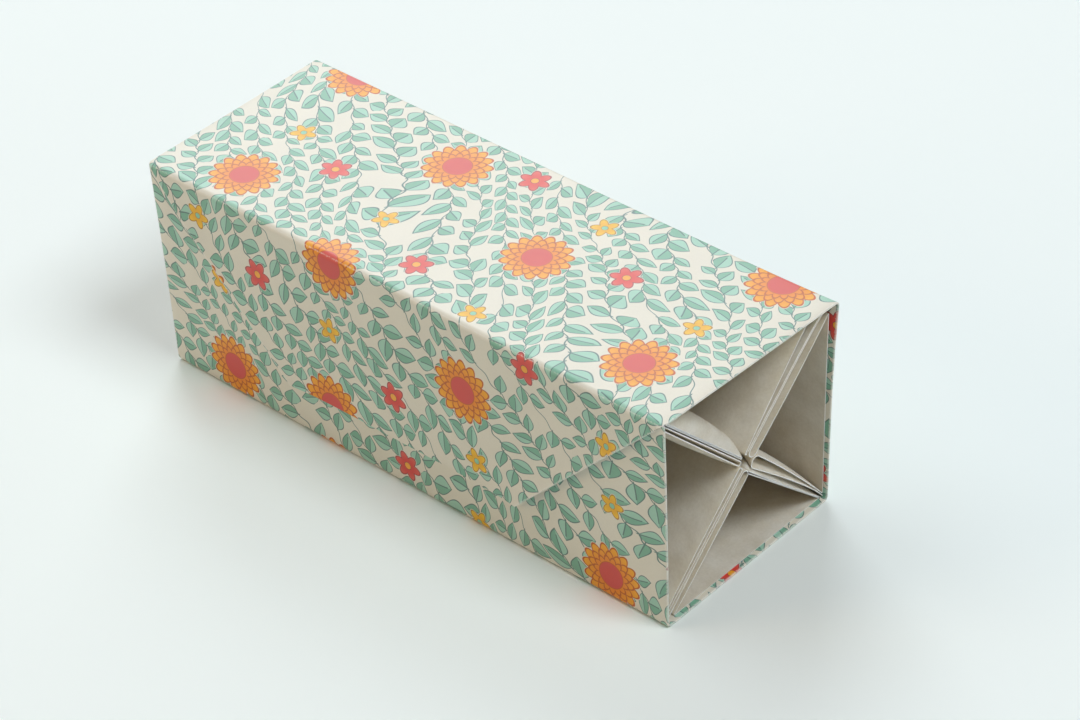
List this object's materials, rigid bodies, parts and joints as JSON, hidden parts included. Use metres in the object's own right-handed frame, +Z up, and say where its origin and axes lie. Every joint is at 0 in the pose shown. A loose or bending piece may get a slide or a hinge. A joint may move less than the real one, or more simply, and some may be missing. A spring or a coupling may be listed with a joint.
{
  "type": "roll-up paper box",
  "caption": "Long square paper box rolled up round triangular compartments with double walls, closed by a wide folded flap along one side.",
  "frame": {"origin": "centre of the box's footprint, on the surface it lies on", "axes": "+Z up, +Y along the box's length towards its far open end, -X towards the side that the closing flap lies on"},
  "size_m": [0.0628, 0.172, 0.062],
  "materials": {
    "printed_paper": "matt paper printed with a flower and leaf pattern",
    "plain_paper": "plain matt white paper"
  },
  "bodies": {
    "box": {"outer_wrap": "printed_paper", "compartment_bottom": "plain_paper", "compartment_right": "plain_paper", "compartment_top": "plain_paper", "compartment_left": "plain_paper"},
    "flap": {"closing_flap": "printed_paper"}
  },
  "joints": [
    {"name": "flap_fold", "type": "hinge", "parent": "box", "child": "flap", "pos_m": [-0.03125, 0, 0.05975], "axis": [0, 1, 0], "range_deg": [0, 135]}
  ]
}
